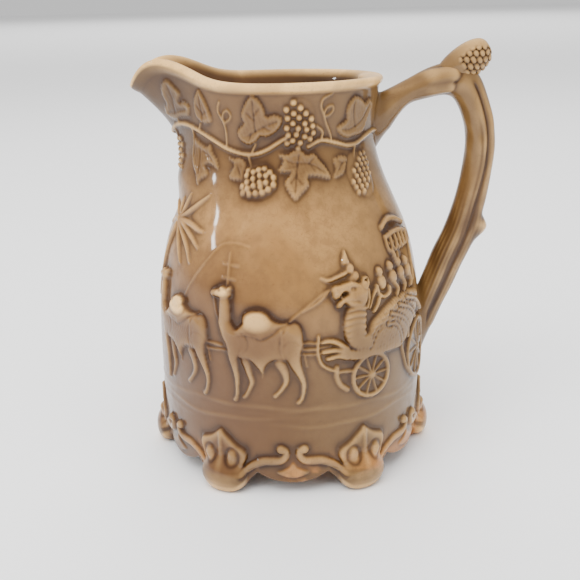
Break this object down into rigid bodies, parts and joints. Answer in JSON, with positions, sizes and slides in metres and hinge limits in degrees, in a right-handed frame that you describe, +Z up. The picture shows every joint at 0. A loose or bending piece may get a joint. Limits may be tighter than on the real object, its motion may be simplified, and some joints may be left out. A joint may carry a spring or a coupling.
{
  "type": "pitcher",
  "caption": "Glazed drabware pitcher with a pouring lip, a branch handle, feet under a scalloped hem and moulded relief of vines and a procession.",
  "frame": {"origin": "on the body's vertical axis, in the plane that the pitcher stands on", "axes": "+Z up, +X towards the handle, -X towards the spout, -Y towards the side with the procession"},
  "size_m": [0.17, 0.1312, 0.1965],
  "materials": {
    "drab_glaze": "glossy drab glaze, dark where it pools"
  },
  "bodies": {
    "root": {"pitcher": "drab_glaze"}
  },
  "joints": []
}
